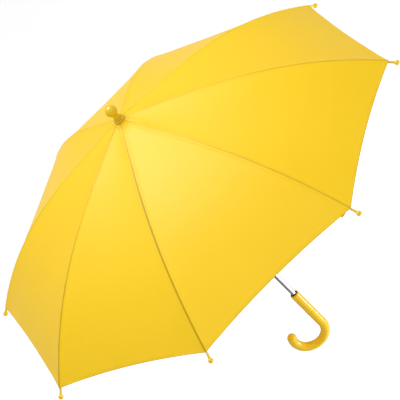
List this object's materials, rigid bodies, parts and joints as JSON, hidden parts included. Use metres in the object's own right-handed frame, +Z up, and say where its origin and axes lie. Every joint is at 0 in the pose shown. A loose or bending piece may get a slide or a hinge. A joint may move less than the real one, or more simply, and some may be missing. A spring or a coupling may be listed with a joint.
{
  "type": "stick umbrella",
  "caption": "Open child's stick umbrella: domed cloth canopy with concave hems, ball-tipped ribs, folding stretchers on a sliding runner, bright shaft and crook handle.",
  "frame": {"origin": "middle of the handle's straight grip, on the shaft's centre line", "axes": "+Z up the shaft towards the ferrule; the crook bends in the XZ plane towards +X"},
  "size_m": [0.7524, 0.7524, 0.5941],
  "materials": {
    "canopy_cloth": "satin",
    "yellow_plastic": "gloss",
    "bright_steel": "polished",
    "rib_steel": "satin",
    "black_plastic": "satin"
  },
  "bodies": {
    "frame": {"shaft_tube": "bright_steel", "shaft_plug": "black_plastic", "runner_stop": "rib_steel", "crown_notch": "black_plastic", "crown_wire": "rib_steel", "crown_washer": "canopy_cloth", "ferrule_collar": "yellow_plastic", "ferrule": "yellow_plastic", "handle_crook": "yellow_plastic", "handle_bush": "black_plastic"},
    "runner": {"runner": "black_plastic", "runner_wire": "rib_steel"},
    "top_catch": {"top_spring": "rib_steel"},
    "bottom_catch": {"bottom_spring": "rib_steel"},
    "rib_1": {"rib_1": "rib_steel", "rib_tip_1": "yellow_plastic", "rib_rivet_1": "rib_steel"},
    "rib_2": {"rib_2": "rib_steel", "rib_tip_2": "yellow_plastic", "rib_rivet_2": "rib_steel"},
    "rib_3": {"rib_3": "rib_steel", "rib_tip_3": "yellow_plastic", "rib_rivet_3": "rib_steel", "closure_strap": "canopy_cloth", "strap_stud": "yellow_plastic"},
    "rib_4": {"rib_4": "rib_steel", "rib_tip_4": "yellow_plastic", "rib_rivet_4": "rib_steel"},
    "rib_5": {"rib_5": "rib_steel", "rib_tip_5": "yellow_plastic", "rib_rivet_5": "rib_steel"},
    "rib_6": {"rib_6": "rib_steel", "rib_tip_6": "yellow_plastic", "rib_rivet_6": "rib_steel"},
    "rib_7": {"rib_7": "rib_steel", "rib_tip_7": "yellow_plastic", "rib_rivet_7": "rib_steel"},
    "rib_8": {"rib_8": "rib_steel", "rib_tip_8": "yellow_plastic", "rib_rivet_8": "rib_steel"},
    "stretcher_1": {"stretcher_1": "rib_steel"},
    "stretcher_2": {"stretcher_2": "rib_steel"},
    "stretcher_3": {"stretcher_3": "rib_steel"},
    "stretcher_4": {"stretcher_4": "rib_steel"},
    "stretcher_5": {"stretcher_5": "rib_steel"},
    "stretcher_6": {"stretcher_6": "rib_steel"},
    "stretcher_7": {"stretcher_7": "rib_steel"},
    "stretcher_8": {"stretcher_8": "rib_steel"},
    "panel_1": {"canopy_panel_1": "canopy_cloth"},
    "panel_2": {"canopy_panel_2": "canopy_cloth"},
    "panel_3": {"canopy_panel_3": "canopy_cloth"},
    "panel_4": {"canopy_panel_4": "canopy_cloth"},
    "panel_5": {"canopy_panel_5": "canopy_cloth"},
    "panel_6": {"canopy_panel_6": "canopy_cloth"},
    "panel_7": {"canopy_panel_7": "canopy_cloth"},
    "panel_8": {"canopy_panel_8": "canopy_cloth"}
  },
  "joints": [
    {"name": "runner_slide", "type": "slide", "parent": "frame", "child": "runner", "axis": [0, 0, -1], "range_m": [0, 0.23023], "deforming": ["canopy_panel_1", "canopy_panel_2", "canopy_panel_3", "canopy_panel_4", "canopy_panel_5", "canopy_panel_6", "canopy_panel_7", "canopy_panel_8", "closure_strap", "top_spring", "bottom_spring"]},
    {"name": "rib_1_hinge", "type": "hinge", "parent": "frame", "child": "rib_1", "pos_m": [0.0086, 0.00602, 0.4794], "axis": [-0.5736, 0.8192, 0], "range_deg": [0, 61.01]},
    {"name": "rib_2_hinge", "type": "hinge", "parent": "frame", "child": "rib_2", "pos_m": [0.00182, 0.01034, 0.4794], "axis": [-0.9848, 0.1736, 0], "range_deg": [0, 61.01]},
    {"name": "rib_3_hinge", "type": "hinge", "parent": "frame", "child": "rib_3", "pos_m": [-0.00602, 0.0086, 0.4794], "axis": [-0.8192, -0.5736, 0], "range_deg": [0, 61.01]},
    {"name": "rib_4_hinge", "type": "hinge", "parent": "frame", "child": "rib_4", "pos_m": [-0.01034, 0.00182, 0.4794], "axis": [-0.1736, -0.9848, 0], "range_deg": [0, 61.01]},
    {"name": "rib_5_hinge", "type": "hinge", "parent": "frame", "child": "rib_5", "pos_m": [-0.0086, -0.00602, 0.4794], "axis": [0.5736, -0.8192, 0], "range_deg": [0, 61.01]},
    {"name": "rib_6_hinge", "type": "hinge", "parent": "frame", "child": "rib_6", "pos_m": [-0.00182, -0.01034, 0.4794], "axis": [0.9848, -0.1736, 0], "range_deg": [0, 61.01]},
    {"name": "rib_7_hinge", "type": "hinge", "parent": "frame", "child": "rib_7", "pos_m": [0.00602, -0.0086, 0.4794], "axis": [0.8192, 0.5736, 0], "range_deg": [0, 61.01]},
    {"name": "rib_8_hinge", "type": "hinge", "parent": "frame", "child": "rib_8", "pos_m": [0.01034, -0.00182, 0.4794], "axis": [0.1736, 0.9848, 0], "range_deg": [0, 61.01]},
    {"name": "stretcher_1_hinge", "type": "hinge", "parent": "rib_1", "child": "stretcher_1", "pos_m": [0.13711, 0.096, 0.43651], "axis": [0.5736, -0.8192, 0], "range_deg": [0, 122.02]},
    {"name": "stretcher_2_hinge", "type": "hinge", "parent": "rib_2", "child": "stretcher_2", "pos_m": [0.02907, 0.16484, 0.43651], "axis": [0.9848, -0.1736, 0], "range_deg": [0, 122.02]},
    {"name": "stretcher_3_hinge", "type": "hinge", "parent": "rib_3", "child": "stretcher_3", "pos_m": [-0.096, 0.13711, 0.43651], "axis": [0.8192, 0.5736, 0], "range_deg": [0, 122.02]},
    {"name": "stretcher_4_hinge", "type": "hinge", "parent": "rib_4", "child": "stretcher_4", "pos_m": [-0.16484, 0.02907, 0.43651], "axis": [0.1736, 0.9848, 0], "range_deg": [0, 122.02]},
    {"name": "stretcher_5_hinge", "type": "hinge", "parent": "rib_5", "child": "stretcher_5", "pos_m": [-0.13711, -0.096, 0.43651], "axis": [-0.5736, 0.8192, 0], "range_deg": [0, 122.02]},
    {"name": "stretcher_6_hinge", "type": "hinge", "parent": "rib_6", "child": "stretcher_6", "pos_m": [-0.02907, -0.16484, 0.43651], "axis": [-0.9848, 0.1736, 0], "range_deg": [0, 122.02]},
    {"name": "stretcher_7_hinge", "type": "hinge", "parent": "rib_7", "child": "stretcher_7", "pos_m": [0.096, -0.13711, 0.43651], "axis": [-0.8192, -0.5736, 0], "range_deg": [0, 122.02]},
    {"name": "stretcher_8_hinge", "type": "hinge", "parent": "rib_8", "child": "stretcher_8", "pos_m": [0.16484, -0.02907, 0.43651], "axis": [-0.1736, -0.9848, 0], "range_deg": [0, 122.02]},
    {"name": "panel_1_fold", "type": "hinge", "parent": "rib_1", "child": "panel_1", "pos_m": [0.0086, 0.00602, 0.4794], "axis": [-0.7058, -0.4942, -0.5075], "range_deg": [0, 23.75]},
    {"name": "panel_2_fold", "type": "hinge", "parent": "rib_2", "child": "panel_2", "pos_m": [0.00182, 0.01034, 0.4794], "axis": [-0.1496, -0.8485, -0.5075], "range_deg": [0, 23.75]},
    {"name": "panel_3_fold", "type": "hinge", "parent": "rib_3", "child": "panel_3", "pos_m": [-0.00602, 0.0086, 0.4794], "axis": [0.4942, -0.7058, -0.5075], "range_deg": [0, 23.75]},
    {"name": "panel_4_fold", "type": "hinge", "parent": "rib_4", "child": "panel_4", "pos_m": [-0.01034, 0.00182, 0.4794], "axis": [0.8485, -0.1496, -0.5075], "range_deg": [0, 23.75]},
    {"name": "panel_5_fold", "type": "hinge", "parent": "rib_5", "child": "panel_5", "pos_m": [-0.0086, -0.00602, 0.4794], "axis": [0.7058, 0.4942, -0.5075], "range_deg": [0, 23.75]},
    {"name": "panel_6_fold", "type": "hinge", "parent": "rib_6", "child": "panel_6", "pos_m": [-0.00182, -0.01034, 0.4794], "axis": [0.1496, 0.8485, -0.5075], "range_deg": [0, 23.75]},
    {"name": "panel_7_fold", "type": "hinge", "parent": "rib_7", "child": "panel_7", "pos_m": [0.00602, -0.0086, 0.4794], "axis": [-0.4942, 0.7058, -0.5075], "range_deg": [0, 23.75]},
    {"name": "panel_8_fold", "type": "hinge", "parent": "rib_8", "child": "panel_8", "pos_m": [0.01034, -0.00182, 0.4794], "axis": [-0.8485, 0.1496, -0.5075], "range_deg": [0, 23.75]},
    {"name": "top_catch_press", "type": "slide", "parent": "frame", "child": "top_catch", "axis": [-1, 0, 0], "range_m": [0, 0.00295], "stiffness_N_per_m": 700},
    {"name": "bottom_catch_press", "type": "slide", "parent": "frame", "child": "bottom_catch", "axis": [-1, 0, 0], "range_m": [0, 0.00295], "stiffness_N_per_m": 700}
  ],
  "couplings": [
    {"joint": "rib_1_hinge", "follows": "runner_slide", "rad_per_m": 4.6243},
    {"joint": "rib_2_hinge", "follows": "runner_slide", "rad_per_m": 4.6243},
    {"joint": "rib_3_hinge", "follows": "runner_slide", "rad_per_m": 4.6243},
    {"joint": "rib_4_hinge", "follows": "runner_slide", "rad_per_m": 4.6243},
    {"joint": "rib_5_hinge", "follows": "runner_slide", "rad_per_m": 4.6243},
    {"joint": "rib_6_hinge", "follows": "runner_slide", "rad_per_m": 4.6243},
    {"joint": "rib_7_hinge", "follows": "runner_slide", "rad_per_m": 4.6243},
    {"joint": "rib_8_hinge", "follows": "runner_slide", "rad_per_m": 4.6243},
    {"joint": "stretcher_1_hinge", "follows": "runner_slide", "rad_per_m": 9.2485},
    {"joint": "stretcher_2_hinge", "follows": "runner_slide", "rad_per_m": 9.2485},
    {"joint": "stretcher_3_hinge", "follows": "runner_slide", "rad_per_m": 9.2485},
    {"joint": "stretcher_4_hinge", "follows": "runner_slide", "rad_per_m": 9.2485},
    {"joint": "stretcher_5_hinge", "follows": "runner_slide", "rad_per_m": 9.2485},
    {"joint": "stretcher_6_hinge", "follows": "runner_slide", "rad_per_m": 9.2485},
    {"joint": "stretcher_7_hinge", "follows": "runner_slide", "rad_per_m": 9.2485},
    {"joint": "stretcher_8_hinge", "follows": "runner_slide", "rad_per_m": 9.2485},
    {"joint": "panel_1_fold", "follows": "runner_slide", "rad_per_m": 1.8},
    {"joint": "panel_2_fold", "follows": "runner_slide", "rad_per_m": 1.8},
    {"joint": "panel_3_fold", "follows": "runner_slide", "rad_per_m": 1.8},
    {"joint": "panel_4_fold", "follows": "runner_slide", "rad_per_m": 1.8},
    {"joint": "panel_5_fold", "follows": "runner_slide", "rad_per_m": 1.8},
    {"joint": "panel_6_fold", "follows": "runner_slide", "rad_per_m": 1.8},
    {"joint": "panel_7_fold", "follows": "runner_slide", "rad_per_m": 1.8},
    {"joint": "panel_8_fold", "follows": "runner_slide", "rad_per_m": 1.8}
  ]
}
